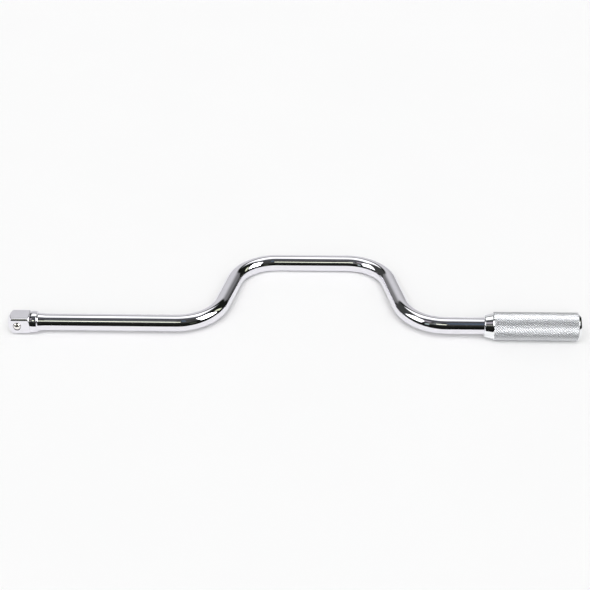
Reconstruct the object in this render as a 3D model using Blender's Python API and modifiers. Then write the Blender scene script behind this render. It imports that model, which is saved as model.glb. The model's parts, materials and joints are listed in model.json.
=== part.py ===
"""Speed brace with a half-inch square drive.

A bent bar carries a square drive with a spring-loaded ball at one end, and a knurled grip that
spins freely on the other. The origin is the centre of the drive's end face. +X runs along the
drive's axis towards the grip, the crank's throw points to +Y, and +Z is up. Lengths are in metres.
"""

import math

import bmesh
import bpy

# Clearances, and how far a cutter runs past what it cuts
RUNNING_CLEARANCE = 0.0003
SEAT_CLEARANCE = 0.0003
OVERRUN = 0.0010
WELD_DISTANCE = 0.000001

# Drive square, measured from its end face
SQUARE_ACROSS = 0.0127
SQUARE_LENGTH = 0.0141
SQUARE_CORNER_RADIUS = 0.0016
END_FACE_DIAMETER = 0.0100
END_CHAMFER_LENGTH = 0.0027
RUN_OUT_RADIUS = 0.0020

# Collar behind the square, and the neck that runs down to the bar
COLLAR_DIAMETER = 0.0156
COLLAR_LENGTH = 0.0055
COLLAR_EDGE = 0.0003
NECK_LENGTH = 0.0040
NECK_MIDDLE_DIAMETER = 0.0129
NECK_MIDDLE_FROM_COLLAR = 0.0017

# Bent bar
BAR_DIAMETER = 0.0120
DRIVE_TO_LEG = 0.1529
LEG_SPACING = 0.1220
LEG_TO_GRIP = 0.0610
THROW = 0.0800
LEG_ANGLE = math.radians(76.8)
BEND_RADIUS = 0.0320

# Detent ball and spring in the front flat of the square
BALL_DIAMETER = 0.0060
BALL_FROM_END = 0.0064
BALL_PROTRUSION = 0.0013
BALL_CLEARANCE = 0.00025
STAKING_DIAMETER = 0.0072
STAKING_DEPTH = 0.00025
POCKET_DEPTH = 0.0095
DRILL_POINT_ANGLE = math.radians(118.0)
SPRING_WIRE = 0.0005
SPRING_OUTER_DIAMETER = 0.0057
SPRING_TURNS = 5

# The bar's end is turned down, past a shoulder, to a spindle that leaves the grip its wall
GRIP_DIAMETER = 0.0200
GRIP_WALL = 0.0036
SPINDLE_SHOULDER = 0.0006
SPINDLE_DIAMETER = min(
    BAR_DIAMETER - 2 * SPINDLE_SHOULDER,
    GRIP_DIAMETER - 2 * (GRIP_WALL + RUNNING_CLEARANCE),
)
SPINDLE_END_CHAMFER = 0.0008

# Spinning grip sleeve. Its nose covers the bar's shoulder, and its far end holds the ring
GRIP_LENGTH = 0.0675
NOSE_WALL = 0.0015
NOSE_DIAMETER = BAR_DIAMETER + 2 * (RUNNING_CLEARANCE + NOSE_WALL)
NOSE_EDGE_RADIUS = 0.0009
NOSE_LENGTH = 0.0058
SHOULDER_CHAMFER_HEIGHT = 0.0007
SHOULDER_CHAMFER_LENGTH = 0.0012
NOSE_SHOULDER_DIAMETER = max(NOSE_DIAMETER, GRIP_DIAMETER - 2 * SHOULDER_CHAMFER_HEIGHT)
MOUTH_DEPTH = 0.0040
GRIP_END_RADIUS = 0.0018
BORE_CHAMFER = 0.0004
COUNTERBORE_STEP = 0.0020
COUNTERBORE_DIAMETER = SPINDLE_DIAMETER + 2 * (RUNNING_CLEARANCE + COUNTERBORE_STEP)
COUNTERBORE_DEPTH = 0.0080

# What holds the grip on the spindle, inside the counterbore
WASHER_THICKNESS = 0.0012
RING_WIRE = 0.0018
RING_GAP_ANGLE = math.radians(50.0)
GROOVE_DEPTH = 0.0009
PLUG_THICKNESS = 0.0012
PLUG_SKIRT = 0.0020
PLUG_CROWN = 0.0004
PLUG_RECESS = 0.0001

# Facets
TURNED_STEPS = 32
FILLET_STEPS = 4
BEND_STEPS = 10
BAR_BEVEL_RESOLUTION = 14
RING_STEPS = 32
COIL_POINTS_PER_TURN = 10
SMOOTH_ANGLE = math.radians(30.0)

# Places worked out from the sizes above
BAR_RADIUS = BAR_DIAMETER / 2
SQUARE_HALF = SQUARE_ACROSS / 2
COLLAR_END = SQUARE_LENGTH + COLLAR_LENGTH
NECK_END = COLLAR_END + NECK_LENGTH
GRIP_START = DRIVE_TO_LEG + LEG_SPACING + LEG_TO_GRIP
GRIP_END = GRIP_START + GRIP_LENGTH
SPINDLE_RADIUS = SPINDLE_DIAMETER / 2
COUNTERBORE_RADIUS = COUNTERBORE_DIAMETER / 2
SPINDLE_START = GRIP_START + MOUTH_DEPTH - SEAT_CLEARANCE
COUNTERBORE_FLOOR = GRIP_END - COUNTERBORE_DEPTH
WASHER_START = COUNTERBORE_FLOOR + SEAT_CLEARANCE
WASHER_END = WASHER_START + WASHER_THICKNESS
RING_CENTRE = WASHER_END + SEAT_CLEARANCE + RING_WIRE / 2
PLUG_RIM = GRIP_END - PLUG_RECESS - PLUG_CROWN
PLUG_INNER_FACE = PLUG_RIM - PLUG_THICKNESS
SPINDLE_END = PLUG_INNER_FACE - SEAT_CLEARANCE
BALL_RADIUS = BALL_DIAMETER / 2
BALL_CENTRE_Y = BALL_RADIUS - BALL_PROTRUSION - SQUARE_HALF
POCKET_RADIUS = BALL_RADIUS + BALL_CLEARANCE
POCKET_FLOOR_Y = POCKET_DEPTH - SQUARE_HALF


def clear_scene():
    for scene_object in list(bpy.data.objects):
        bpy.data.objects.remove(scene_object, do_unlink=True)


def new_collection(name):
    collection = bpy.data.collections.new(name)
    bpy.context.scene.collection.children.link(collection)
    return collection


def metal(name, colour, roughness):
    """A Principled metal."""
    material = bpy.data.materials.new(name)
    material.use_nodes = True
    shader = material.node_tree.nodes["Principled BSDF"]
    shader.inputs["Base Color"].default_value = (*colour, 1)
    shader.inputs["Metallic"].default_value = 1
    shader.inputs["Roughness"].default_value = roughness
    return material


def evaluated_mesh(source, name):
    """The mesh of an object with its modifiers or curve bevel, welded and facing out."""
    bpy.context.view_layer.update()
    graph = bpy.context.evaluated_depsgraph_get()
    mesh = bpy.data.meshes.new_from_object(source.evaluated_get(graph))
    mesh.name = name
    shape = bmesh.new()
    shape.from_mesh(mesh)
    bmesh.ops.remove_doubles(shape, verts=shape.verts, dist=WELD_DISTANCE)
    bmesh.ops.recalc_face_normals(shape, faces=shape.faces)
    shape.to_mesh(mesh)
    shape.free()
    mesh.shade_smooth()
    mesh.set_sharp_from_angle(angle=SMOOTH_ANGLE)
    return mesh


def as_mesh_object(source, collection, material=None):
    """Swap a curve or a modified object for a plain mesh object of the same name and place."""
    name = source.name
    mesh = evaluated_mesh(source, name)
    place = source.matrix_world.copy()
    bpy.data.objects.remove(source, do_unlink=True)
    result = bpy.data.objects.new(name, mesh)
    result.matrix_world = place
    collection.objects.link(result)
    mesh.materials.clear()
    if material:
        mesh.materials.append(material)
    return result


def hide_tool(tool):
    tool.hide_render = True
    tool.display_type = "WIRE"


def turned(name, profile, closed, collection, material=None):
    """Turn a profile of (radius, height) about Z. The outer side runs from top to bottom."""
    mesh = bpy.data.meshes.new(name)
    edges = [(i, i + 1) for i in range(len(profile) - 1)]
    if closed:
        edges.append((len(profile) - 1, 0))
    mesh.from_pydata([(radius, 0, height) for radius, height in profile], edges, [])
    blank = bpy.data.objects.new(name, mesh)
    collection.objects.link(blank)
    screw = blank.modifiers.new("Turn", "SCREW")
    screw.axis = "Z"
    screw.angle = math.tau
    screw.steps = TURNED_STEPS
    screw.render_steps = TURNED_STEPS
    screw.use_merge_vertices = True
    screw.merge_threshold = WELD_DISTANCE
    return as_mesh_object(blank, collection, material)


def lie_along_x(shape, x=0):
    """Lay a turned shape's height along +X, with its zero height at x on the drive's axis."""
    shape.rotation_euler = (0, math.pi / 2, 0)
    shape.location = (x, 0, 0)


def boolean(target, operation, tool):
    cut = target.modifiers.new(tool.name, "BOOLEAN")
    cut.operation = operation
    cut.solver = "EXACT"
    cut.object = tool


def arc(centre, radius, start, end, steps):
    """Points on an arc in a profile's plane, both ends included."""
    angles = [start + (end - start) * i / steps for i in range(steps + 1)]
    return [(centre[0] + radius * math.cos(t), centre[1] + radius * math.sin(t)) for t in angles]


def rounded_route(corners, radius, steps):
    """A route in the XY plane whose corners are rounded by arcs that meet the straights."""
    route = [corners[0]]
    for before, corner, after in zip(corners, corners[1:], corners[2:]):
        heading = math.atan2(corner[1] - before[1], corner[0] - before[0])
        turn = math.atan2(after[1] - corner[1], after[0] - corner[0]) - heading
        side = math.copysign(1, turn)
        reach = radius * math.tan(abs(turn) / 2)
        start = (corner[0] - reach * math.cos(heading), corner[1] - reach * math.sin(heading))
        centre = (
            start[0] - side * radius * math.sin(heading),
            start[1] + side * radius * math.cos(heading),
        )
        from_angle = heading - side * math.pi / 2
        route += arc(centre, radius, from_angle, from_angle + turn, steps)
    return route + [corners[-1]]


def crank_corners(start, end):
    """The bar's straight lines, drawn to sharp corners."""
    lean = THROW / 2 / math.tan(LEG_ANGLE)
    first_leg = DRIVE_TO_LEG
    second_leg = DRIVE_TO_LEG + LEG_SPACING
    return [
        (start, 0),
        (first_leg - lean, 0),
        (first_leg + lean, THROW),
        (second_leg - lean, THROW),
        (second_leg + lean, 0),
        (end, 0),
    ]


def bent_bar(name, collection, material):
    """Round bar bent to the crank's shape, from inside the collar to the spindle's end."""
    curve = bpy.data.curves.new(name, "CURVE")
    curve.dimensions = "3D"
    curve.twist_mode = "Z_UP"
    curve.bevel_depth = BAR_RADIUS
    curve.bevel_resolution = BAR_BEVEL_RESOLUTION
    curve.use_fill_caps = True
    bar_start = SQUARE_LENGTH + RUN_OUT_RADIUS
    route = rounded_route(crank_corners(bar_start, SPINDLE_END), BEND_RADIUS, BEND_STEPS)
    spline = curve.splines.new("POLY")
    spline.points.add(len(route) - 1)
    for point, (x, y) in zip(spline.points, route):
        point.co = (x, y, 0, 1)
    bar = bpy.data.objects.new(name, curve)
    collection.objects.link(bar)
    return as_mesh_object(bar, collection, material)


def rounded_square(half, corner_radius):
    """Points of a square section with rounded corners, in order round the X axis."""
    points = []
    for quarter in range(4):
        middle = quarter * math.pi / 2 + math.pi / 4
        flat = (half - corner_radius) * math.sqrt(2)
        centre = (flat * math.cos(middle), flat * math.sin(middle))
        points += arc(centre, corner_radius, middle - math.pi / 4, middle + math.pi / 4, FILLET_STEPS)
    return points


def square_envelope(collection):
    """The space that the drive square may fill: flats with rounded corners, which flare out in
    a concave run-out where they end in the collar."""
    flare_steps = FILLET_STEPS + 2
    sections = [(-OVERRUN, SQUARE_HALF), (SQUARE_LENGTH, SQUARE_HALF)]
    for i in range(1, flare_steps + 1):
        angle = math.pi / 2 * i / flare_steps
        x = SQUARE_LENGTH + RUN_OUT_RADIUS * math.sin(angle)
        sections.append((x, SQUARE_HALF + RUN_OUT_RADIUS * (1 - math.cos(angle))))
    widest = max(sections[-1][1], COLLAR_DIAMETER / 2 + OVERRUN)
    sections.append((NECK_END + OVERRUN, widest))
    shape = bmesh.new()
    rings = []
    for x, half in sections:
        points = rounded_square(half, SQUARE_CORNER_RADIUS)
        rings.append([shape.verts.new((x, y, z)) for y, z in points])
    count = len(rings[0])
    for near, far in zip(rings, rings[1:]):
        for i in range(count):
            j = (i + 1) % count
            shape.faces.new((near[i], near[j], far[j], far[i]))
    shape.faces.new(rings[0])
    shape.faces.new(rings[-1])
    bmesh.ops.recalc_face_normals(shape, faces=shape.faces)
    mesh = bpy.data.meshes.new("square_envelope")
    shape.to_mesh(mesh)
    shape.free()
    envelope = bpy.data.objects.new("square_envelope", mesh)
    collection.objects.link(envelope)
    hide_tool(envelope)
    return envelope


def drive_head(collection):
    """Turned blank with a chamfered end, collar and neck, made square by the envelope."""
    end_radius = END_FACE_DIAMETER / 2
    corner_reach = (SQUARE_HALF - SQUARE_CORNER_RADIUS) * math.sqrt(2) + SQUARE_CORNER_RADIUS
    slope = END_CHAMFER_LENGTH / (corner_reach - end_radius)
    blank_radius = corner_reach + COLLAR_EDGE
    collar_radius = COLLAR_DIAMETER / 2
    neck_middle = COLLAR_END + NECK_MIDDLE_FROM_COLLAR
    stub_share = 0.98
    profile = [
        (0, NECK_END),
        (BAR_RADIUS * stub_share, NECK_END),
        (NECK_MIDDLE_DIAMETER / 2, neck_middle),
        (collar_radius - COLLAR_EDGE, COLLAR_END),
        (collar_radius, COLLAR_END - COLLAR_EDGE),
        (collar_radius, SQUARE_LENGTH + RUN_OUT_RADIUS),
        (blank_radius, SQUARE_LENGTH),
        (blank_radius, slope * (blank_radius - end_radius)),
        (end_radius, 0),
        (0, 0),
    ]
    head = turned("drive_head", profile, False, collection)
    lie_along_x(head)
    boolean(head, "INTERSECT", square_envelope(collection))
    hide_tool(head)
    return head


def detent_pocket(collection):
    """Drilled pocket for the ball and spring. Its mouth is staked in over the ball."""
    lip_height = BALL_RADIUS - BALL_PROTRUSION - STAKING_DEPTH
    lip_angle = math.asin(lip_height / POCKET_RADIUS)
    staking_radius = STAKING_DIAMETER / 2
    centre_depth = BALL_CENTRE_Y + SQUARE_HALF
    point_length = POCKET_RADIUS / math.tan(DRILL_POINT_ANGLE / 2)
    profile = [(0, OVERRUN), (staking_radius, OVERRUN), (staking_radius, 0)]
    profile += arc((0, -centre_depth), POCKET_RADIUS, lip_angle, 0, FILLET_STEPS)
    profile += [(POCKET_RADIUS, -POCKET_DEPTH), (0, -POCKET_DEPTH - point_length)]
    pocket = turned("detent_pocket", profile, False, collection)
    pocket.rotation_euler = (math.pi / 2, 0, 0)
    pocket.location = (BALL_FROM_END, -SQUARE_HALF, 0)
    hide_tool(pocket)
    return pocket


def ring_groove(collection):
    """Groove round the spindle for the retaining ring."""
    half_width = RING_WIRE / 2 + SEAT_CLEARANCE
    inner = SPINDLE_RADIUS - GROOVE_DEPTH
    outer = BAR_RADIUS + OVERRUN
    profile = [(outer, half_width), (outer, -half_width), (inner, -half_width), (inner, half_width)]
    groove = turned("ring_groove", profile, True, collection)
    lie_along_x(groove, RING_CENTRE)
    hide_tool(groove)
    return groove


def spindle_turning(collection):
    """What is turned off the bar's end: the shoulder, the spindle's side and its end chamfer."""
    outer = BAR_RADIUS + OVERRUN
    length = SPINDLE_END - SPINDLE_START
    inner_end = SPINDLE_RADIUS - SPINDLE_END_CHAMFER - OVERRUN
    profile = [
        (outer, length + OVERRUN),
        (outer, 0),
        (SPINDLE_RADIUS, 0),
        (SPINDLE_RADIUS, length - SPINDLE_END_CHAMFER),
        (inner_end, length + OVERRUN),
    ]
    turning = turned("spindle_turning", profile, True, collection)
    lie_along_x(turning, SPINDLE_START)
    hide_tool(turning)
    return turning


def crank_bar(parts, tools, material):
    """The one-piece forging: square drive, collar, bends and spindle."""
    crank = bent_bar("crank_bar", parts, material)
    boolean(crank, "UNION", drive_head(tools))
    boolean(crank, "DIFFERENCE", detent_pocket(tools))
    boolean(crank, "DIFFERENCE", spindle_turning(tools))
    boolean(crank, "DIFFERENCE", ring_groove(tools))
    return as_mesh_object(crank, parts, material)


def detent_ball(parts, material):
    """Hardened ball, with its origin at its centre."""
    mesh = bpy.data.meshes.new("detent_ball")
    shape = bmesh.new()
    bmesh.ops.create_uvsphere(shape, u_segments=24, v_segments=14, radius=BALL_RADIUS)
    shape.to_mesh(mesh)
    shape.free()
    mesh.shade_smooth()
    mesh.materials.append(material)
    ball = bpy.data.objects.new("detent_ball", mesh)
    ball.location = (BALL_FROM_END, BALL_CENTRE_Y, 0)
    ball.rotation_euler = (math.pi / 2, 0, 0)
    parts.objects.link(ball)
    return ball


def detent_spring(parts, material):
    """Compression spring between the ball's back and the pocket's drilled floor."""
    wire_radius = SPRING_WIRE / 2
    coil_radius = SPRING_OUTER_DIAMETER / 2 - wire_radius
    stand_off = BALL_RADIUS + SEAT_CLEARANCE + wire_radius
    ball_end = BALL_CENTRE_Y + math.sqrt(stand_off**2 - coil_radius**2)
    half_point = DRILL_POINT_ANGLE / 2
    from_wall = (POCKET_RADIUS - coil_radius) * math.cos(half_point)
    seat = (SEAT_CLEARANCE + wire_radius - from_wall) / math.sin(half_point)
    floor_end = POCKET_FLOOR_Y - max(seat, 0)
    count = SPRING_TURNS * COIL_POINTS_PER_TURN
    curve = bpy.data.curves.new("detent_spring", "CURVE")
    curve.dimensions = "3D"
    curve.bevel_depth = wire_radius
    curve.bevel_resolution = 1
    curve.use_fill_caps = True
    spline = curve.splines.new("POLY")
    spline.points.add(count)
    for i, point in enumerate(spline.points):
        angle = math.tau * i / COIL_POINTS_PER_TURN
        y = ball_end + (floor_end - ball_end) * i / count - ball_end
        point.co = (coil_radius * math.cos(angle), y, coil_radius * math.sin(angle), 1)
    spring = bpy.data.objects.new("detent_spring", curve)
    spring.location = (BALL_FROM_END, ball_end, 0)
    parts.objects.link(spring)
    return as_mesh_object(spring, parts, material)


def grip_sleeve(parts, material):
    """Turned sleeve: coned nose, a mouth that takes the bar, running bore and counterbore."""
    grip_radius = GRIP_DIAMETER / 2
    nose_radius = NOSE_DIAMETER / 2
    shoulder_radius = NOSE_SHOULDER_DIAMETER / 2
    mouth_radius = BAR_RADIUS + RUNNING_CLEARANCE
    bore_radius = SPINDLE_RADIUS + RUNNING_CLEARANCE
    floor = GRIP_LENGTH - COUNTERBORE_DEPTH
    cone_lean = math.atan2(shoulder_radius - nose_radius, NOSE_LENGTH)
    end_wall = grip_radius - COUNTERBORE_RADIUS - BORE_CHAMFER
    end_radius = min(GRIP_END_RADIUS, end_wall)
    end_centre = (grip_radius - end_radius, GRIP_LENGTH - end_radius)
    nose_centre = (nose_radius - NOSE_EDGE_RADIUS, NOSE_EDGE_RADIUS)
    profile = arc(end_centre, end_radius, math.pi / 2, 0, FILLET_STEPS)
    profile += [
        (grip_radius, NOSE_LENGTH + SHOULDER_CHAMFER_LENGTH),
        (shoulder_radius, NOSE_LENGTH),
    ]
    profile += arc(nose_centre, NOSE_EDGE_RADIUS, -cone_lean, -math.pi / 2, FILLET_STEPS)
    profile += [
        (mouth_radius + BORE_CHAMFER, 0),
        (mouth_radius, BORE_CHAMFER),
        (mouth_radius, MOUTH_DEPTH),
        (bore_radius, MOUTH_DEPTH),
        (bore_radius, floor),
        (COUNTERBORE_RADIUS, floor),
        (COUNTERBORE_RADIUS, GRIP_LENGTH - BORE_CHAMFER),
    ]
    sleeve = turned("grip_sleeve", profile, True, parts, material)
    lie_along_x(sleeve, GRIP_START)
    return sleeve


def thrust_washer(parts, material):
    """Plain washer between the counterbore's floor and the retaining ring."""
    inner = SPINDLE_RADIUS + RUNNING_CLEARANCE
    outer = COUNTERBORE_RADIUS - RUNNING_CLEARANCE
    profile = [(outer, WASHER_THICKNESS), (outer, 0), (inner, 0), (inner, WASHER_THICKNESS)]
    washer = turned("thrust_washer", profile, True, parts, material)
    lie_along_x(washer, WASHER_START)
    return washer


def retaining_ring(parts, material):
    """Open snap ring of round wire, sprung into the spindle's groove."""
    wire_radius = RING_WIRE / 2
    ring_radius = SPINDLE_RADIUS - GROOVE_DEPTH + SEAT_CLEARANCE + wire_radius
    curve = bpy.data.curves.new("retaining_ring", "CURVE")
    curve.dimensions = "3D"
    curve.bevel_depth = wire_radius
    curve.bevel_resolution = 2
    curve.use_fill_caps = True
    start = -math.pi / 2 + RING_GAP_ANGLE / 2
    sweep = math.tau - RING_GAP_ANGLE
    spline = curve.splines.new("POLY")
    spline.points.add(RING_STEPS)
    for point, (y, z) in zip(
        spline.points, arc((0, 0), ring_radius, start, start + sweep, RING_STEPS)
    ):
        point.co = (0, y, z, 1)
    ring = bpy.data.objects.new("retaining_ring", curve)
    ring.location = (RING_CENTRE, 0, 0)
    parts.objects.link(ring)
    return as_mesh_object(ring, parts, material)


def end_plug(parts, material):
    """Pressed cup that closes the counterbore. Its floor is crowned and its skirt faces inwards."""
    outer = COUNTERBORE_RADIUS - SEAT_CLEARANCE
    inner = outer - PLUG_THICKNESS
    crown_radius = (outer**2 + PLUG_CROWN**2) / (2 * PLUG_CROWN)
    crown_angle = math.asin((outer - PLUG_THICKNESS / 2) / crown_radius)
    crown_centre = PLUG_THICKNESS + PLUG_CROWN - crown_radius
    crown = arc((0, crown_centre), crown_radius, math.pi / 2, math.pi / 2 - crown_angle, FILLET_STEPS)
    profile = crown + [
        (outer, PLUG_THICKNESS / 2),
        (outer, -PLUG_SKIRT),
        (inner, -PLUG_SKIRT),
        (inner, 0),
        (0, 0),
    ]
    plug = turned("end_plug", profile, False, parts, material)
    lie_along_x(plug, PLUG_INNER_FACE)
    return plug


def main():
    clear_scene()
    parts = new_collection("speed_brace")
    tools = new_collection("cutters")
    chrome = metal("polished_chrome", (0.78, 0.79, 0.80), 0.06)
    knurled = metal("knurled_chrome", (0.76, 0.77, 0.78), 0.22)
    ball_steel = metal("ball_steel", (0.66, 0.64, 0.60), 0.10)
    spring_steel = metal("spring_steel", (0.45, 0.44, 0.42), 0.35)
    plain_steel = metal("plain_steel", (0.58, 0.58, 0.57), 0.30)

    crank_bar(parts, tools, chrome)
    detent_ball(parts, ball_steel)
    detent_spring(parts, spring_steel)
    thrust_washer(parts, plain_steel)
    retaining_ring(parts, spring_steel)

    grip_axis = bpy.data.objects.new("grip_axis", None)
    grip_axis.location = (GRIP_START, 0, 0)
    parts.objects.link(grip_axis)
    for turning in (grip_sleeve(parts, knurled), end_plug(parts, plain_steel)):
        turning.location.x -= GRIP_START
        turning.parent = grip_axis


main()
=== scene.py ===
"""Looks of the speed brace: fine surfaces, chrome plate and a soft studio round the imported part.

Lengths are in metres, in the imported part's frame: the drive's axis is X, the throw is +Y.
"""

import json
import math

import bmesh
import bpy
import numpy as np
from mathutils import Matrix, Vector

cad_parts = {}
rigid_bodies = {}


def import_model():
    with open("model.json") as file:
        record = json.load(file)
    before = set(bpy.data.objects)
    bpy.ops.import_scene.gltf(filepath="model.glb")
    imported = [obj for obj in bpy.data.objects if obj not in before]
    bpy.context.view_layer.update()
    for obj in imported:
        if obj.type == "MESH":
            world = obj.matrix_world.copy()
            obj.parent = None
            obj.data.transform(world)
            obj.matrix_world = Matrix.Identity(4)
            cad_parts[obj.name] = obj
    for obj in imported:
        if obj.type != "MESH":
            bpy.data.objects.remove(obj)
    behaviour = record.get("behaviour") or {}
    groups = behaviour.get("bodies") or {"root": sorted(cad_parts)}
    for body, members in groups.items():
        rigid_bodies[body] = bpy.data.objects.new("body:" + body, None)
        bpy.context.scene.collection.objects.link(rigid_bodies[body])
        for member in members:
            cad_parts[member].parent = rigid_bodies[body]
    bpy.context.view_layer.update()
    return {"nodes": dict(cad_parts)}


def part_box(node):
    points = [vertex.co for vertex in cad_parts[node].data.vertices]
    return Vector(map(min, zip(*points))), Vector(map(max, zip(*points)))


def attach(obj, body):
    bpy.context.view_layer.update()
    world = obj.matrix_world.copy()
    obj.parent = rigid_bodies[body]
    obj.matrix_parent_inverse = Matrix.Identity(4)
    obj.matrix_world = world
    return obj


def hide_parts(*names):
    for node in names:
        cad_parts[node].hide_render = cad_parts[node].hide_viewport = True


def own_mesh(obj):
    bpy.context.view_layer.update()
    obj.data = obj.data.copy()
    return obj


for thing in list(bpy.data.objects):
    bpy.data.objects.remove(thing, do_unlink=True)

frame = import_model()

# Sizes of the part
BAR_RADIUS = 0.0060
DRIVE_TO_LEG = 0.1529
LEG_SPACING = 0.1220
THROW = 0.0800
LEG_ANGLE = math.radians(76.8)
BEND_RADIUS = 0.0320
SQUARE_HALF = 0.00635
SQUARE_LENGTH = 0.0141
SQUARE_CORNER_RADIUS = 0.0016
END_FACE_RADIUS = 0.0050
END_CHAMFER_LENGTH = 0.0027
RUN_OUT_RADIUS = 0.0013
COLLAR_RADIUS = 0.0078
COLLAR_START = 0.0151
COLLAR_MIDDLE = 0.0178
COLLAR_END = 0.0203
COLLAR_CROWN = 0.00012
NECK_MIDDLE = 0.0208
NECK_MIDDLE_RADIUS = 0.00650
NECK_END = 0.0260
BALL_RADIUS = 0.0030
BALL_FROM_END = 0.0064
BALL_PROTRUSION = 0.0013
STAKING_RADIUS = 0.0036
STAKING_DEPTH = 0.00025
POCKET_RADIUS = 0.00325
LIP_RADIUS = 0.00317
POCKET_DEPTH = 0.0095
GRIP_START = 0.3359
GRIP_END = 0.4034
GRIP_RADIUS = 0.0100
NOSE_RADIUS = 0.0078
NOSE_LENGTH = 0.0058
NOSE_SHOULDER_RADIUS = 0.0093
NOSE_EDGE_RADIUS = 0.0009
SHOULDER_END = 0.0070
MOUTH_RADIUS = 0.0063
MOUTH_DEPTH = 0.0040
BORE_RADIUS = 0.0057
BORE_CHAMFER = 0.0004
COUNTERBORE_RADIUS = 0.0077
COUNTERBORE_DEPTH = 0.0080
GRIP_END_RADIUS = 0.0018
GRIP_END_DROP = 0.0013
GRIP_END_FILLET = 0.0004
SPINDLE_START = 0.3396
SPINDLE_RADIUS = 0.0054
SPINDLE_END = 0.4014
SPINDLE_END_CHAMFER = 0.0008
GROOVE_START = 0.3969
GROOVE_END = 0.3993
GROOVE_RADIUS = 0.0045
PLUG_RADIUS = 0.0074
PLUG_INNER_FACE = 0.4017
PLUG_THICKNESS = 0.0012
PLUG_SKIRT = 0.0020
PLUG_CROWN = 0.0004
SPRING_WIRE_RADIUS = 0.00025
SPRING_COIL_RADIUS = 0.0026
SPRING_TURNS = 5
SPRING_CLOSED_RISE = 0.00052

# Small radii and blends of the edges. The turned blank is a margin wider than the square's corners.
SQUARE_BLEND = 0.00025
BLANK_MARGIN = 0.0003
END_FACE_FILLET = 0.0003
COLLAR_FRONT_FILLET = 0.0008
COLLAR_CROWN_FILLET = 0.0080
COLLAR_BACK_FILLET = 0.0004
NECK_MIDDLE_FILLET = 0.0009
NECK_END_FILLET = 0.0040
SPINDLE_FILLET = 0.0002
GROOVE_EDGE_FILLET = 0.0001
NOSE_MOUTH_FILLET = 0.0001
NOSE_SHOULDER_FILLET = 0.0003
PLUG_RIM_FILLET = 0.0006
PLUG_FACE_MARGIN = 0.0007
POCKET_CONE_LENGTH = 0.0019

# Fineness of the meshes. A profile that ends on the axis ends NEAR_AXIS from it, and the end face's
# first ring is a share of the way out.
NEAR_AXIS = 0.00001
END_FAN_RADIUS = 0.0001
WELD_DISTANCE = 0.0000005
CREASE_DEGREES = 35
KNURL_CREASE_DEGREES = 20
ROUND_SIDES = 96
FINE_STEP = 0.00010
COARSE_STEP = 0.0012
BEND_PARTS = 48
STRAIGHT_PARTS = 12
END_FACE_PARTS = 8
END_FACE_FIRST_RING = 0.02
POCKET_LIP_PARTS = 8
BALL_CUTS = 23
PLUG_FACE_PARTS = 12
PLUG_RIM_PARTS = 8
SPRING_TURN_PARTS = 48
SPRING_WIRE_SIDES = 16

# Knurl: starts round the sleeve each way at 45 degrees, and mesh steps from one start to the next.
# A groove's half width is a share of the way between starts. The satin and the painted shade in the
# grooves fade out at both ends.
KNURL_STARTS = 34
KNURL_STEPS = 8
KNURL_DEPTH = 0.00042
KNURL_GROOVE_SHARE = 0.42
KNURL_FADE = 0.0002


def smooth_min(a, b, width):
    """The lower of two values, rounded where they cross."""
    share = np.maximum(width - np.abs(a - b), 0) / width
    return np.minimum(a, b) - share * share * width / 4


def filleted(corners, steps):
    """A polyline of (x, radius, fillet) corners as points, with each fillet as an arc."""
    points = [np.array(corners[0][:2], float)]
    for before, corner, after in zip(corners, corners[1:], corners[2:]):
        here = np.array(corner[:2], float)
        back = np.array(before[:2], float) - here
        ahead = np.array(after[:2], float) - here
        fillet = corner[2]
        if not fillet:
            points.append(here)
            continue
        back /= np.linalg.norm(back)
        ahead /= np.linalg.norm(ahead)
        half = math.acos(float(np.clip(back @ ahead, -1, 1))) / 2
        reach = fillet / math.tan(half)
        middle = back + ahead
        centre = here + middle / np.linalg.norm(middle) * fillet / math.sin(half)
        first = here + back * reach - centre
        last = here + ahead * reach - centre
        start = math.atan2(first[1], first[0])
        turn = math.atan2(last[1], last[0]) - start
        turn = (turn + math.pi) % math.tau - math.pi
        for i in range(steps + 1):
            angle = start + turn * i / steps
            points.append(centre + fillet * np.array([math.cos(angle), math.sin(angle)]))
    points.append(np.array(corners[-1][:2], float))
    return points


def mesh_of_rings(name, rings, loop=False, diagonals=None):
    """A closed mesh from rings of points. A loop joins last to first, and open ends get a fan.

    Each square between rings is one face, or two along the given diagonals.
    """
    count, around = rings.shape[:2]
    vertices = rings.reshape(-1, 3)
    i = np.arange(count if loop else count - 1)[:, None]
    j = np.arange(around)[None, :]
    k = (i + 1) % count
    m = (j + 1) % around
    a, b = i * around + j, i * around + m
    c, d = k * around + m, k * around + j
    if diagonals is None:
        faces = [tuple(f) for f in np.stack([a, b, c, d], -1).reshape(-1, 4).tolist()]
    else:
        first = np.where(diagonals[..., None], np.stack([a, b, c], -1), np.stack([a, b, d], -1))
        second = np.where(diagonals[..., None], np.stack([a, c, d], -1), np.stack([b, c, d], -1))
        faces = [tuple(f) for f in np.stack([first, second], 2).reshape(-1, 3).tolist()]
    if not loop:
        caps = [(rings[0], 0, True), (rings[-1], (count - 1) * around, False)]
        for ring, base, first_end in caps:
            centre = len(vertices)
            vertices = np.vstack([vertices, ring.mean(0)])
            for n in range(around):
                nxt = base + (n + 1) % around
                faces.append((centre, nxt, base + n) if first_end else (centre, base + n, nxt))
    mesh = bpy.data.meshes.new(name)
    mesh.from_pydata(vertices.tolist(), [], faces)
    mesh.validate()
    mesh.shade_smooth()
    shape = bpy.data.objects.new(name, mesh)
    bpy.context.scene.collection.objects.link(shape)
    return shape


def turned(name, profile):
    """A solid of revolution about X from a profile of (x, radius) points that ends on the axis."""
    angles = np.arange(ROUND_SIDES) / ROUND_SIDES * math.tau
    rings = [[(x, r * math.cos(t), r * math.sin(t)) for t in angles] for x, r in profile]
    return mesh_of_rings(name, np.array(rings))


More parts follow.
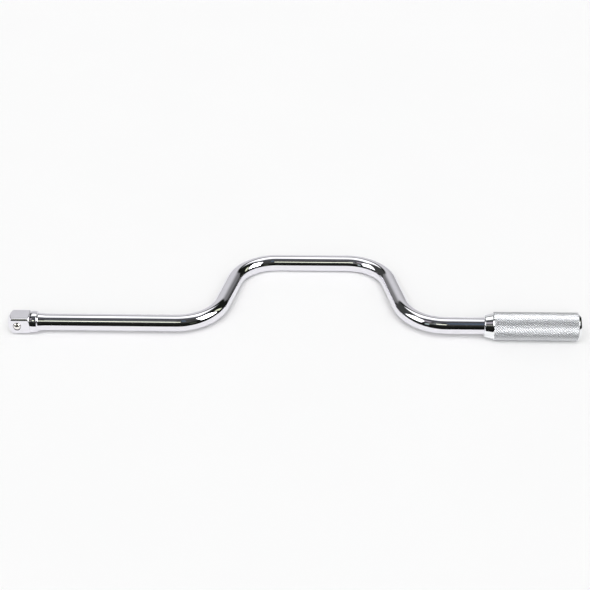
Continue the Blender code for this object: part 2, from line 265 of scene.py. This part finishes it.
def close_up(shape, angle=CREASE_DEGREES):
    """Weld, point the faces out and keep crisp edges crisp."""
    mesh = shape.data
    work = bmesh.new()
    work.from_mesh(mesh)
    bmesh.ops.remove_doubles(work, verts=work.verts, dist=WELD_DISTANCE)
    bmesh.ops.recalc_face_normals(work, faces=work.faces)
    work.to_mesh(mesh)
    work.free()
    mesh.shade_smooth()
    mesh.set_sharp_from_angle(angle=math.radians(angle))
    return shape


def square_radius(angle, half):
    """Distance from the axis to a square section with rounded corners, seen at an angle."""
    octant = np.abs((angle + math.pi / 4) % (math.pi / 2) - math.pi / 4)
    flat = half - SQUARE_CORNER_RADIUS
    on_flat = half / np.cos(octant)
    along = flat * (np.cos(octant) + np.sin(octant))
    inside = np.maximum(along**2 - 2 * flat**2 + SQUARE_CORNER_RADIUS**2, 0)
    on_corner = along + np.sqrt(inside)
    return np.where(np.tan(octant) * half <= flat, on_flat, on_corner)


def square_half_at(x):
    """The flats' distance from the axis. They flare in a concave run-out into the collar."""
    into = np.clip((x - SQUARE_LENGTH) / RUN_OUT_RADIUS, 0, 1)
    flare = RUN_OUT_RADIUS * (1 - math.sqrt(1 - into * into))
    beyond = max(x - SQUARE_LENGTH - RUN_OUT_RADIUS, 0)
    return SQUARE_HALF + flare + beyond


def route_point(s):
    """Place and heading of the bar's centre line at a distance along it."""
    for start, length, origin, heading, turn in ROUTE:
        if s <= start + length or (start, length) == ROUTE[-1][:2]:
            along = s - start
            if not turn:
                x = origin[0] + along * math.cos(heading)
                y = origin[1] + along * math.sin(heading)
                return x, y, heading
            side = math.copysign(1, turn)
            swept = heading + side * along / BEND_RADIUS
            x = origin[0] + side * BEND_RADIUS * (math.sin(swept) - math.sin(heading))
            y = origin[1] - side * BEND_RADIUS * (math.cos(swept) - math.cos(heading))
            return x, y, swept


def plan_route():
    """Straights and bends of the crank as (start, length, origin, heading, turn)."""
    lean = THROW / 2 / math.tan(LEG_ANGLE)
    far = DRIVE_TO_LEG + LEG_SPACING
    corners = [
        (0, 0),
        (DRIVE_TO_LEG - lean, 0),
        (DRIVE_TO_LEG + lean, THROW),
        (far - lean, THROW),
        (far + lean, 0),
        (SPINDLE_END, 0),
    ]
    turns = [LEG_ANGLE, -LEG_ANGLE, -LEG_ANGLE, LEG_ANGLE, 0]
    cut_back = BEND_RADIUS * math.tan(LEG_ANGLE / 2)
    pieces, s, x, y, heading = [], 0.0, 0.0, 0.0, 0.0
    for n, (here, there, turn) in enumerate(zip(corners, corners[1:], turns)):
        length = math.dist(here, there) - (cut_back if n else 0) - (cut_back if turn else 0)
        pieces.append((s, length, (x, y), heading, 0))
        s += length
        x += length * math.cos(heading)
        y += length * math.sin(heading)
        if turn:
            pieces.append((s, BEND_RADIUS * LEG_ANGLE, (x, y), heading, turn))
            side = math.copysign(1, turn)
            x += side * BEND_RADIUS * (math.sin(heading + turn) - math.sin(heading))
            y -= side * BEND_RADIUS * (math.cos(heading + turn) - math.cos(heading))
            s += BEND_RADIUS * LEG_ANGLE
            heading += turn
    return pieces


ROUTE = plan_route()
ROUTE_LENGTH = ROUTE[-1][0] + ROUTE[-1][1]


def section_angles(per_quarter=32, crowding=0.6):
    """Angles round the bar, closer together where the square's corners are."""
    t = np.arange(per_quarter) / per_quarter
    quarter = math.pi / 2 * (t + crowding * np.sin(math.tau * t) / math.tau)
    return np.concatenate([quarter + q * math.pi / 2 for q in range(4)])


def crank_stations():
    """Stations along the bar as (distance, radius): the turned blank that the square is cut from."""
    reach = (SQUARE_HALF - SQUARE_CORNER_RADIUS) * math.sqrt(2) + SQUARE_CORNER_RADIUS
    slope = END_CHAMFER_LENGTH / (reach - END_FACE_RADIUS)
    blank = reach + BLANK_MARGIN
    neck_fade = NECK_END + 0.0040
    past_neck = NECK_END + 0.005
    head = filleted(
        [
            (0, 0, 0),
            (0, END_FACE_RADIUS, END_FACE_FILLET),
            (slope * (blank - END_FACE_RADIUS), blank, 0),
            (SQUARE_LENGTH, blank, 0),
            (COLLAR_START, COLLAR_RADIUS - COLLAR_CROWN * 2, COLLAR_FRONT_FILLET),
            (COLLAR_MIDDLE, COLLAR_RADIUS + COLLAR_CROWN, COLLAR_CROWN_FILLET),
            (COLLAR_END, COLLAR_RADIUS - COLLAR_CROWN * 2, COLLAR_BACK_FILLET),
            (NECK_MIDDLE, NECK_MIDDLE_RADIUS, NECK_MIDDLE_FILLET),
            (NECK_END, BAR_RADIUS, NECK_END_FILLET),
            (neck_fade, BAR_RADIUS, 0),
        ],
        steps=12,
    )
    across_face = head[1] - head[0]
    face = [head[0] + across_face * END_FACE_FIRST_RING]
    face += [head[0] + across_face * i / END_FACE_PARTS for i in range(1, END_FACE_PARTS)]
    head = face + head[1:]
    tip_end = SQUARE_LENGTH * 0.25
    run_out_start = SQUARE_LENGTH * 0.99
    fine = []
    for near, far in zip(head, head[1:]):
        gap = math.dist(near, far)
        crowded = far[0] < tip_end or run_out_start < near[0] < COLLAR_END
        parts = max(1, math.ceil(gap / (FINE_STEP if crowded else COARSE_STEP)))
        fine += [near + (far - near) * i / parts for i in range(parts)]
    stations = [(float(x), float(r)) for x, r in fine]
    shift = ROUTE_LENGTH - SPINDLE_END
    for start, length, _, _, turn in ROUTE[:-1]:
        parts = BEND_PARTS if turn else STRAIGHT_PARTS
        stations += [(start + length * i / parts, BAR_RADIUS) for i in range(parts)]
    start = ROUTE[-1][0]
    step = (SPINDLE_START + shift - start) / STRAIGHT_PARTS
    stations += [(start + step * i, BAR_RADIUS) for i in range(STRAIGHT_PARTS)]
    stations = [p for n, p in enumerate(stations) if n < len(fine) or p[0] > past_neck]
    before_spindle = SPINDLE_START - 0.0010
    tail = filleted(
        [
            (before_spindle, BAR_RADIUS, 0),
            (SPINDLE_START, BAR_RADIUS, SPINDLE_FILLET),
            (SPINDLE_START, SPINDLE_RADIUS, SPINDLE_FILLET),
            (GROOVE_START, SPINDLE_RADIUS, GROOVE_EDGE_FILLET),
            (GROOVE_START, GROOVE_RADIUS, SPINDLE_FILLET),
            (GROOVE_END, GROOVE_RADIUS, SPINDLE_FILLET),
            (GROOVE_END, SPINDLE_RADIUS, GROOVE_EDGE_FILLET),
            (SPINDLE_END - SPINDLE_END_CHAMFER, SPINDLE_RADIUS, SPINDLE_FILLET),
            (SPINDLE_END, SPINDLE_RADIUS - SPINDLE_END_CHAMFER, SPINDLE_FILLET),
            (SPINDLE_END, END_FAN_RADIUS, 0),
        ],
        steps=4,
    )
    return stations + [(float(x) + shift, float(r)) for x, r in tail]


def pocket_cutter():
    """What is cut out for the ball: a staking dimple, a lip round the ball and a blind hole."""
    centre = BALL_RADIUS - BALL_PROTRUSION
    lip = math.asin((centre - STAKING_DEPTH) / LIP_RADIUS)
    above_flat = 0.0008
    skin = 0.00002
    profile = [(above_flat, NEAR_AXIS), (above_flat, STAKING_RADIUS), (skin, STAKING_RADIUS)]
    for i in range(POCKET_LIP_PARTS + 1):
        reach = LIP_RADIUS + (POCKET_RADIUS - LIP_RADIUS) * i / POCKET_LIP_PARTS
        angle = lip * (1 - i / POCKET_LIP_PARTS)
        profile.append((-centre + reach * math.sin(angle), reach * math.cos(angle)))
    profile.append((-POCKET_DEPTH, POCKET_RADIUS))
    profile.append((-POCKET_DEPTH - POCKET_CONE_LENGTH, NEAR_AXIS))
    cutter = close_up(turned("pocket_cutter", profile))
    place = Matrix.Translation((BALL_FROM_END, -SQUARE_HALF, 0))
    cutter.matrix_world = place @ Matrix.Rotation(-math.pi / 2, 4, "Z")
    return cutter


def make_crank():
    """The one-piece bar: drive square, collar, neck, bends and spindle, with the ball's pocket."""
    angles = section_angles()
    rings = []
    for s, radius in crank_stations():
        x, y, heading = route_point(s)
        distance = np.full(len(angles), radius)
        if s < COLLAR_END:
            distance = smooth_min(distance, square_radius(angles, square_half_at(s)), SQUARE_BLEND)
        across = np.array([-math.sin(heading), math.cos(heading), 0])
        up = np.array([0, 0, 1])
        ring = np.array([x, y, 0]) + distance[:, None] * (
            np.cos(angles)[:, None] * across + np.sin(angles)[:, None] * up
        )
        rings.append(ring)
    crank = mesh_of_rings("crank", np.array(rings))
    close_up(crank)
    cutter = pocket_cutter()
    cut = crank.modifiers.new("pocket", "BOOLEAN")
    cut.operation = "DIFFERENCE"
    cut.solver = "EXACT"
    cut.object = cutter
    bpy.context.view_layer.update()
    graph = bpy.context.evaluated_depsgraph_get()
    mesh = bpy.data.meshes.new_from_object(crank.evaluated_get(graph))
    crank.modifiers.clear()
    crank.data = mesh
    bpy.data.objects.remove(cutter, do_unlink=True)
    mesh.shade_smooth()
    mesh.set_sharp_from_angle(angle=math.radians(CREASE_DEGREES))
    return crank


def make_ball():
    """The detent ball, as a cube of fine quads pushed out to a sphere."""
    work = bmesh.new()
    bmesh.ops.create_cube(work, size=2)
    bmesh.ops.subdivide_edges(work, edges=work.edges, cuts=BALL_CUTS, use_grid_fill=True)
    for vertex in work.verts:
        vertex.co = vertex.co.normalized() * BALL_RADIUS
        vertex.co += Vector((BALL_FROM_END, BALL_RADIUS - BALL_PROTRUSION - SQUARE_HALF, 0))
    mesh = bpy.data.meshes.new("ball")
    work.to_mesh(mesh)
    work.free()
    mesh.shade_smooth()
    ball = bpy.data.objects.new("ball", mesh)
    bpy.context.scene.collection.objects.link(ball)
    return ball


def knurl_radius(x, angle):
    """Radius of the diamond knurl, and where the first family of grooves is the nearer one."""
    pitch = math.tau * GRIP_RADIUS / KNURL_STARTS
    round_way = angle * GRIP_RADIUS / pitch
    along = x / pitch
    first = np.abs((along + round_way + 0.5) % 1 - 0.5)
    second = np.abs((along - round_way + 0.5) % 1 - 0.5)
    nearest = np.minimum(first, second)
    depth = KNURL_DEPTH * np.clip(1 - nearest / KNURL_GROOVE_SHARE, 0, 1)
    return GRIP_RADIUS - depth, first < second


def make_sleeve():
    """The grip sleeve: coned nose, shoulder, knurl cut as real diamonds, bevelled end and bores."""
    around = KNURL_STARTS * KNURL_STEPS
    angles = np.arange(around) / around * math.tau
    pitch = math.tau * GRIP_RADIUS / KNURL_STARTS
    step = pitch / KNURL_STEPS
    length = GRIP_END - GRIP_START
    knurl_start = SHOULDER_END - KNURL_DEPTH * 2
    knurl_end = length - GRIP_END_RADIUS
    nose = filleted(
        [
            (BORE_CHAMFER, MOUTH_RADIUS, 0),
            (0, MOUTH_RADIUS + BORE_CHAMFER, NOSE_MOUTH_FILLET),
            (0, NOSE_RADIUS, NOSE_EDGE_RADIUS),
            (NOSE_LENGTH, NOSE_SHOULDER_RADIUS, NOSE_SHOULDER_FILLET),
            (SHOULDER_END, GRIP_RADIUS, 0),
            (knurl_end, GRIP_RADIUS, 0),
        ],
        steps=10,
    )
    outer = [(float(x), float(r)) for x, r in nose if x < knurl_start]
    first_row = math.ceil(knurl_start / step)
    last_row = math.floor(knurl_end / step)
    rows = [(n * step, None) for n in range(first_row, last_row + 1)]
    mouth = COUNTERBORE_RADIUS + BORE_CHAMFER
    bevel = filleted(
        [
            (knurl_end - step, GRIP_RADIUS, 0),
            (knurl_end, GRIP_RADIUS, GRIP_END_FILLET),
            (length, GRIP_RADIUS - GRIP_END_DROP, GRIP_END_FILLET),
            (length, mouth, 0),
        ],
        steps=10,
    )
    past_rows = rows[-1][0] + step * 0.3
    end = [(float(x), float(r)) for x, r in bevel if x > past_rows]
    bore_floor = length - COUNTERBORE_DEPTH
    inner = [
        (length - BORE_CHAMFER, COUNTERBORE_RADIUS),
        (bore_floor, COUNTERBORE_RADIUS),
        (bore_floor, BORE_RADIUS),
        (MOUTH_DEPTH, BORE_RADIUS),
        (MOUTH_DEPTH, MOUTH_RADIUS),
    ]
    rise = GRIP_RADIUS - NOSE_SHOULDER_RADIUS
    rings, diagonals = [], []
    for x, radius in outer + rows + end + inner:
        if radius is None:
            shoulder = NOSE_SHOULDER_RADIUS + (x - NOSE_LENGTH) * rise / (SHOULDER_END - NOSE_LENGTH)
            cut, _ = knurl_radius(x, angles)
            distance = np.minimum(cut, min(shoulder, GRIP_RADIUS))
        else:
            distance = np.full(around, radius)
        _, lean = knurl_radius(x + step / 2, angles + math.pi / around)
        diagonals.append(lean)
        place = np.full(around, GRIP_START + x)
        rings.append(np.stack([place, distance * np.cos(angles), distance * np.sin(angles)], -1))
    sleeve = mesh_of_rings("sleeve", np.array(rings), loop=True, diagonals=np.array(diagonals))
    return close_up(sleeve, angle=KNURL_CREASE_DEGREES)


def make_plug():
    """Pressed cup that closes the sleeve, with a crowned face and a rounded rim."""
    rim = PLUG_INNER_FACE + PLUG_THICKNESS
    crown = (PLUG_RADIUS**2 + PLUG_CROWN**2) / (2 * PLUG_CROWN)
    face = []
    for i in range(PLUG_FACE_PARTS + 1):
        r = (PLUG_RADIUS - PLUG_FACE_MARGIN) * i / PLUG_FACE_PARTS
        face.append((rim + PLUG_CROWN - crown + math.sqrt(crown**2 - r**2), max(r, NEAR_AXIS)))
    fillet = PLUG_RIM_FILLET
    lip = face[-1][0] - fillet
    edge = []
    for i in range(1, PLUG_RIM_PARTS + 1):
        angle = math.pi / 2 * i / PLUG_RIM_PARTS
        radius = PLUG_RADIUS - fillet + fillet * math.sin(angle)
        edge.append((lip + fillet * math.cos(angle), radius))
    inner = PLUG_RADIUS - PLUG_THICKNESS
    profile = face + edge + [
        (PLUG_INNER_FACE - PLUG_SKIRT, PLUG_RADIUS),
        (PLUG_INNER_FACE - PLUG_SKIRT, inner),
        (PLUG_INNER_FACE, inner),
        (PLUG_INNER_FACE, NEAR_AXIS),
    ]
    return close_up(turned("plug", profile))


def make_spring(low, high):
    """The ball's compression spring, with a closed turn at each end, from low to high along Y."""
    first = low + SPRING_WIRE_RADIUS
    last = high - SPRING_WIRE_RADIUS
    turns = np.linspace(0, SPRING_TURNS, SPRING_TURNS * SPRING_TURN_PARTS + 1)
    angle = turns * math.tau
    height = np.interp(
        turns,
        [0, 1, SPRING_TURNS - 1, SPRING_TURNS],
        [first, first + SPRING_CLOSED_RISE, last - SPRING_CLOSED_RISE, last],
    )
    outward = np.stack([np.cos(angle), np.zeros_like(angle), np.sin(angle)], -1)
    axis = np.stack([np.full_like(height, BALL_FROM_END), height, height * 0], -1)
    wire = outward * SPRING_COIL_RADIUS + axis
    ahead = np.gradient(wire, axis=0)
    ahead /= np.linalg.norm(ahead, axis=1)[:, None]
    across = np.cross(ahead, outward)
    sides = []
    for i in range(SPRING_WIRE_SIDES):
        turn = math.tau * i / SPRING_WIRE_SIDES
        round_wire = outward * math.cos(turn) + across * math.sin(turn)
        sides.append(wire + SPRING_WIRE_RADIUS * round_wire)
    return close_up(mesh_of_rings("spring", np.stack(sides, 1)))


def node(tree, kind, **values):
    """A new shader node with some of its inputs set."""
    made = tree.nodes.new(kind)
    for key, value in values.items():
        made.inputs[key].default_value = value
    return made


def ramp(tree, value, dark, light, low, high):
    """A colour that goes from dark to light as a value goes from low to high."""
    made = node(tree, "ShaderNodeValToRGB")
    made.color_ramp.elements[0].position = low
    made.color_ramp.elements[1].position = high
    made.color_ramp.elements[0].color = (*dark, 1)
    made.color_ramp.elements[1].color = (*light, 1)
    tree.links.new(value, made.inputs["Fac"])
    return made.outputs["Color"]


def maths(tree, operation, first, second=None):
    """A Math node. Each input is a socket or a number."""
    made = tree.nodes.new("ShaderNodeMath")
    made.operation = operation
    for socket, value in zip(made.inputs, (first, second)):
        if isinstance(value, (int, float)):
            socket.default_value = value
        elif value is not None:
            tree.links.new(value, socket)
    return made.outputs[0]


def smooth_step(tree, value, low, high):
    """0 below low, 1 above high, eased between; the other way round where low is above high."""
    made = tree.nodes.new("ShaderNodeMapRange")
    made.interpolation_type = "SMOOTHSTEP"
    made.inputs["From Min"].default_value = min(low, high)
    made.inputs["From Max"].default_value = max(low, high)
    made.inputs["To Min"].default_value = 0 if low < high else 1
    made.inputs["To Max"].default_value = 1 if low < high else 0
    tree.links.new(value, made.inputs["Value"])
    return made.outputs["Result"]


def mixed(tree, factor, first, second):
    """Mix of two colours, each a socket or a colour. A Mix node's colour sockets go by number."""
    made = tree.nodes.new("ShaderNodeMix")
    made.data_type = "RGBA"
    tree.links.new(factor, made.inputs["Factor"])
    for socket, value in ((made.inputs[6], first), (made.inputs[7], second)):
        if isinstance(value, tuple):
            socket.default_value = (*value, 1)
        else:
            tree.links.new(value, socket)
    return made.outputs[2]


# Noise cells to the metre: waves in the plating, and polishing lines that are long along the bar
WAVE_SCALE = 220
GRAIN_SCALE = (400, 5000, 5000)


def bumped(tree, place, distance, **values):
    """A Bump node's normal from a noise that is laid out by place."""
    noise = node(tree, "ShaderNodeTexNoise", **values)
    tree.links.new(place, noise.inputs["Vector"])
    bump = node(tree, "ShaderNodeBump", Strength=1.0, Distance=distance)
    tree.links.new(noise.outputs["Fac"], bump.inputs["Height"])
    return bump.outputs["Normal"]


def metal(name, colour, roughness, variation=0.02, wave=0.0, grain=0.0, groove_shade=None, satin=0.0):
    """Metal: a clean reflection, broken by faint haze, and by waviness or fine polishing grain.

    With a groove shade it is the knurl's plating. There it is satin, and painted shade makes it
    darker down in the grooves.
    """
    material = bpy.data.materials.new(name)
    material.use_nodes = True
    tree = material.node_tree
    shader = tree.nodes["Principled BSDF"]
    shader.inputs["Metallic"].default_value = 1
    place = node(tree, "ShaderNodeTexCoord")
    haze = node(tree, "ShaderNodeTexNoise", Scale=140.0, Detail=4.0, Roughness=0.6)
    tree.links.new(place.outputs["Object"], haze.inputs["Vector"])
    hazed = [c * 0.97 for c in colour]
    surface_colour = ramp(tree, haze.outputs["Fac"], hazed, colour, 0.35, 0.7)
    spread = node(tree, "ShaderNodeMapRange")
    spread.inputs["From Min"].default_value = 0.35
    spread.inputs["From Max"].default_value = 0.75
    spread.inputs["To Min"].default_value = roughness
    spread.inputs["To Max"].default_value = roughness + variation
    tree.links.new(haze.outputs["Fac"], spread.inputs["Value"])
    rough = spread.outputs["Result"]
    # Painted shade: down in the knurl's grooves the colour goes over to the groove shade.
    if groove_shade:
        x, y, z = node(tree, "ShaderNodeSeparateXYZ").outputs
        tree.links.new(place.outputs["Object"], x.node.inputs[0])
        squares = maths(tree, "ADD", maths(tree, "MULTIPLY", y, y), maths(tree, "MULTIPLY", z, z))
        high = smooth_step(tree, maths(tree, "SQRT", squares), GRIP_RADIUS - KNURL_DEPTH, GRIP_RADIUS)
        shoulder = GRIP_START + SHOULDER_END
        bevel = GRIP_END - GRIP_END_RADIUS
        nose = smooth_step(tree, x, shoulder, shoulder - KNURL_FADE * 2)
        end = smooth_step(tree, x, bevel - KNURL_FADE, bevel)
        smooth = maths(tree, "MAXIMUM", nose, end)
        surface_colour = mixed(tree, maths(tree, "MAXIMUM", high, smooth), groove_shade, surface_colour)
        knurled = maths(tree, "SUBTRACT", 1.0, smooth)
        rough = maths(tree, "ADD", rough, maths(tree, "MULTIPLY", knurled, satin))
    tree.links.new(surface_colour, shader.inputs["Base Color"])
    tree.links.new(rough, shader.inputs["Roughness"])
    if wave:
        waves = bumped(tree, place.outputs["Object"], wave, Scale=WAVE_SCALE, Detail=1.0)
        tree.links.new(waves, shader.inputs["Normal"])
    if grain:
        stretch = node(tree, "ShaderNodeMapping", Scale=GRAIN_SCALE)
        tree.links.new(place.outputs["Object"], stretch.inputs["Vector"])
        lines = bumped(tree, stretch.outputs["Vector"], grain, Scale=1.0, Detail=3.0)
        tree.links.new(lines, shader.inputs["Normal"])
    return material


def dress(shape, body, nodes, material):
    """Give a shape its material, tie it to its body, and hide the CAD nodes that it stands in for."""
    shape.data.materials.clear()
    shape.data.materials.append(material)
    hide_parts(*nodes)
    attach(shape, body)


chrome = metal("chrome", (0.875, 0.865, 0.91), 0.03, wave=0.0000015)
sleeve_chrome = metal(
    "sleeve_chrome",
    (0.96, 0.97, 0.985),
    0.04,
    variation=0.03,
    # painted shade down in the knurl's grooves
    groove_shade=(0.48, 0.49, 0.51),
    satin=0.44,
)
bearing_steel = metal("bearing_steel", (0.92, 0.89, 0.85), 0.04)
plain_steel = metal("plain_steel", (0.60, 0.60, 0.59), 0.28, grain=0.000002)
spring_steel = metal("spring_steel", (0.42, 0.41, 0.39), 0.32)

crank = make_crank()
dress(crank, "crank", ["crank_bar"], chrome)
ball = make_ball()
dress(ball, "ball", ["detent_ball"], bearing_steel)
sleeve = make_sleeve()
dress(sleeve, "grip", ["grip_sleeve"], sleeve_chrome)
plug = make_plug()
dress(plug, "grip", ["end_plug"], plain_steel)
spring_low, spring_high = (corner[1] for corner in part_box("detent_spring"))
spring = make_spring(spring_low, spring_high)
dress(spring, "crank", ["detent_spring"], spring_steel)
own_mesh(spring)
for name, material in (
    ("thrust_washer", plain_steel),
    ("retaining_ring", spring_steel),
):
    frame["nodes"][name].data.materials.clear()
    frame["nodes"][name].data.materials.append(material)

# Camera at the photograph's place: lens and sensor in millimetres, angles in degrees
CAMERA_SENSOR = 36
CAMERA_LENS = 83.42994
CAMERA_PLACE = (0.22088628, -0.78991439, 0.55801302)
CAMERA_ANGLES = (55.98519257, 0.18348770, 1.18810500)

camera_data = bpy.data.cameras.new("camera")
camera_data.sensor_width = CAMERA_SENSOR
camera_data.lens = CAMERA_LENS
camera = bpy.data.objects.new("camera", camera_data)
camera.location = CAMERA_PLACE
camera.rotation_euler = [math.radians(a) for a in CAMERA_ANGLES]
bpy.context.scene.collection.objects.link(camera)
bpy.context.scene.camera = camera


# The studio as patches painted over one another. Each has the surface that it lies on, its sides
# there, the softness of its sides and ends, and its radiance. On "round" the sides are azimuth and
# elevation in degrees, with azimuth 0 on the camera's side and 90 on +X. On "wall", behind the
# part, they are x and z over y, and on "ceiling" they are x and y over z.
PATCHES = [
    ("round", -60, 60, 28, 100, 10, 14, (0.052, 0.052, 0.050)),
    ("round", -28, -6, 34, 64, 8, 10, (0.16, 0.17, 0.17)),
    ("round", -400, 400, 66, 100, 5, 14, (0.085, 0.088, 0.095)),
    ("round", -150, -85, -90, 60, 14, 5, (0.055, 0.057, 0.055)),
    ("round", 50.6, 90.4, 21.6, 55.4, 4, 5, (9.0, 9.0, 9.0)),
    ("round", -91, -49, 20.3, 55.7, 4, 5, (2.4, 2.4, 2.4)),
    ("round", -19, 5.5, 41.5, 46.0, 1, 1, (2.4, 2.5, 2.0)),
    ("round", 97, 106, 18, 42, 3, 5, (0.9, 0.95, 0.7)),
    ("round", -41, -32, 12, 30, 3, 4, (0.35, 0.42, 0.42)),
    ("round", 8, 20, 44, 66, 3, 4, (0.08, 0.11, 0.15)),
    ("round", 24, 38, 4, 18, 4, 4, (0.06, 0.07, 0.05)),
    ("round", -58, -36, 47, 62, 6, 6, (0.38, 0.35, 0.39)),
    ("round", -38, -28, 31, 39, 4, 5, (0.25, 0.25, 0.22)),
    ("wall", -1.25, 1.12, -9, 0.88, 0.40, 0.16, (0.21, 0.21, 0.21)),
    ("wall", -0.62, 0.40, -9, 0.88, 0.75, 0.16, (0.69, 0.69, 0.70)),
    ("ceiling", -0.42, 0.42, 0.02, 0.86, 0.16, 0.16, (0.25, 0.27, 0.27)),
    ("ceiling", -0.45, 0.33, 0.11, 0.80, 0.06, 0.06, (1.4, 1.4, 1.4)),
]

# What mirror rays see beside the patches, what they see when they start from a matte surface, and
# the radiance above which a patch is mirrored once only
DARK_STUDIO = (0.010, 0.011, 0.009)
PLAIN_STUDIO = (0.05, 0.05, 0.05)
STRONG_PATCH = 5

# The light on everything: a dome, and a lamp round the direction (0, LAMP_Y, LAMP_Z). Its edge is
# soft, between these cosines of the angle to that direction.
LAMP_Y = -0.616
LAMP_Z = 0.788
LAMP_EDGE = (0.83, 0.93)
LAMP_LIGHT = (3.65, 3.65, 3.65)
DOME_LIGHT = (0.46, 0.46, 0.46)


def patch_mask(tree, across, along, sides, ends, side, end):
    """1 on a patch and 0 off it, eased over the softness of its sides and ends."""
    west, east = sides
    low, high = ends
    edges = [
        smooth_step(tree, across, west - side / 2, west + side / 2),
        smooth_step(tree, across, east + side / 2, east - side / 2),
        smooth_step(tree, along, low - end / 2, low + end / 2),
        smooth_step(tree, along, high + end / 2, high - end / 2),
    ]
    mask = edges[0]
    for edge in edges[1:]:
        mask = maths(tree, "MULTIPLY", mask, edge)
    return mask


def studio_world():
    """White to the camera, the patches to mirror rays, and the dome and lamp to all others."""
    world = bpy.data.worlds.new("studio")
    bpy.context.scene.world = world
    world.use_nodes = True
    tree = world.node_tree
    background = tree.nodes["Background"]
    place = tree.nodes.new("ShaderNodeTexCoord")
    split = tree.nodes.new("ShaderNodeSeparateXYZ")
    tree.links.new(place.outputs["Generated"], split.inputs[0])
    x, y, z = split.outputs
    degrees = 180 / math.pi
    least = 0.001
    behind = maths(tree, "MAXIMUM", y, least)
    above = maths(tree, "MAXIMUM", z, least)
    toward = maths(tree, "MULTIPLY", y, -1.0)
    places = {
        "round": (
            maths(tree, "MULTIPLY", maths(tree, "ARCTAN2", x, toward), degrees),
            maths(tree, "MULTIPLY", maths(tree, "ARCSINE", z), degrees),
        ),
        "wall": (maths(tree, "DIVIDE", x, behind), maths(tree, "DIVIDE", z, behind)),
        "ceiling": (maths(tree, "DIVIDE", x, above), maths(tree, "DIVIDE", y, above)),
    }
    path = tree.nodes.new("ShaderNodeLightPath")
    twice = smooth_step(tree, path.outputs["Glossy Depth"], 1.2, 1.8)
    once = maths(tree, "SUBTRACT", 1.0, twice)
    seen = DARK_STUDIO
    for surface, west, east, low, high, side, end, radiance in PATCHES:
        across, along = places[surface]
        mask = patch_mask(tree, across, along, (west, east), (low, high), side, end)
        if min(radiance) > STRONG_PATCH:
            mask = maths(tree, "MULTIPLY", mask, once)
        seen = mixed(tree, mask, seen, radiance)
    lamp_y = maths(tree, "MULTIPLY", y, LAMP_Y)
    lamp_z = maths(tree, "MULTIPLY", z, LAMP_Z)
    lamp = smooth_step(tree, maths(tree, "ADD", lamp_y, lamp_z), *LAMP_EDGE)
    soft = mixed(tree, lamp, DOME_LIGHT, LAMP_LIGHT)
    later = maths(tree, "MINIMUM", path.outputs["Diffuse Depth"], 1.0)
    mirrored = mixed(tree, later, seen, PLAIN_STUDIO)
    lit = mixed(tree, path.outputs["Is Glossy Ray"], soft, mirrored)
    colour = mixed(tree, path.outputs["Is Camera Ray"], lit, (1.0, 1.0, 1.0))
    tree.links.new(colour, background.inputs["Color"])


# Stage: how far the floor reaches each way, the gap between it and the part, how far from its back
# edge the collar meets it, and the far edge and height of the dark room's sheet over it
FLOOR_REACH = 6
FLOOR_GAP = 0.00002
COLLAR_TOUCH = 0.0010
DARK_ROOM_EDGE = -0.036
DARK_ROOM_LIFT = 0.0003


def sheet(name, far, height):
    """A stage sheet as wide as the floor, from the floor's near edge to far, at height(x, y)."""
    near = -FLOOR_REACH
    corners = [(-FLOOR_REACH, near), (FLOOR_REACH, near), (FLOOR_REACH, far), (-FLOOR_REACH, far)]
    mesh = bpy.data.meshes.new(name)
    mesh.from_pydata([(x, y, height(x, y)) for x, y in corners], [], [(0, 1, 2, 3)])
    made = bpy.data.objects.new(name, mesh)
    bpy.context.scene.collection.objects.link(made)
    return made


def floor_height(x, y):
    """The table that the part lies on: it touches the collar, the grip and the throw bar."""
    at_collar = -COLLAR_RADIUS - FLOOR_GAP
    at_grip = -GRIP_RADIUS - FLOOR_GAP
    at_throw = -BAR_RADIUS - FLOOR_GAP
    collar_x = COLLAR_END - COLLAR_TOUCH
    along = (at_grip - at_collar) / (GRIP_END - GRIP_END_RADIUS - collar_x)
    middle = DRIVE_TO_LEG + LEG_SPACING / 2
    across = (at_throw - at_collar - along * (middle - collar_x)) / THROW
    return at_collar + along * (x - collar_x) + across * y


def dark_room_height(x, y):
    """Just above the floor, so that mirror rays meet the dark room's sheet first."""
    return floor_height(x, y) + DARK_ROOM_LIFT


def matte_material(name, colour, difference):
    """Plain matte surface whose tone drifts a little from place to place."""
    material = bpy.data.materials.new(name)
    material.use_nodes = True
    tree = material.node_tree
    shader = tree.nodes["Principled BSDF"]
    shader.inputs["Roughness"].default_value = 0.6
    shader.inputs["Specular IOR Level"].default_value = 0
    place = node(tree, "ShaderNodeTexCoord")
    drift = node(tree, "ShaderNodeTexNoise", Scale=9.0, Detail=3.0, Roughness=0.5)
    tree.links.new(place.outputs["Object"], drift.inputs["Vector"])
    dark = [c - difference for c in colour]
    light = [c + difference for c in colour]
    tone = ramp(tree, drift.outputs["Fac"], dark, light, 0.3, 0.7)
    tree.links.new(tone, shader.inputs["Base Color"])
    return material


def only_reflected(shape):
    """Leave a shape to mirror rays alone."""
    shape.visible_camera = False
    shape.visible_diffuse = False
    shape.visible_shadow = False
    shape.visible_transmission = False


floor = sheet("floor", FLOOR_REACH, floor_height)
floor.data.materials.append(matte_material("floor_white", (0.93, 0.93, 0.93), 0.004))
# Dark room: a black sheet over the floor in front, seen only in mirrors, is painted shade for the
# unlit room beyond the table.
dark_room = sheet("dark_room", DARK_ROOM_EDGE, dark_room_height)
dark_room.data.materials.append(matte_material("room_dark", (0.006, 0.006, 0.006), 0.001))
only_reflected(dark_room)
studio_world()
bpy.context.scene.view_settings.view_transform = "Standard"
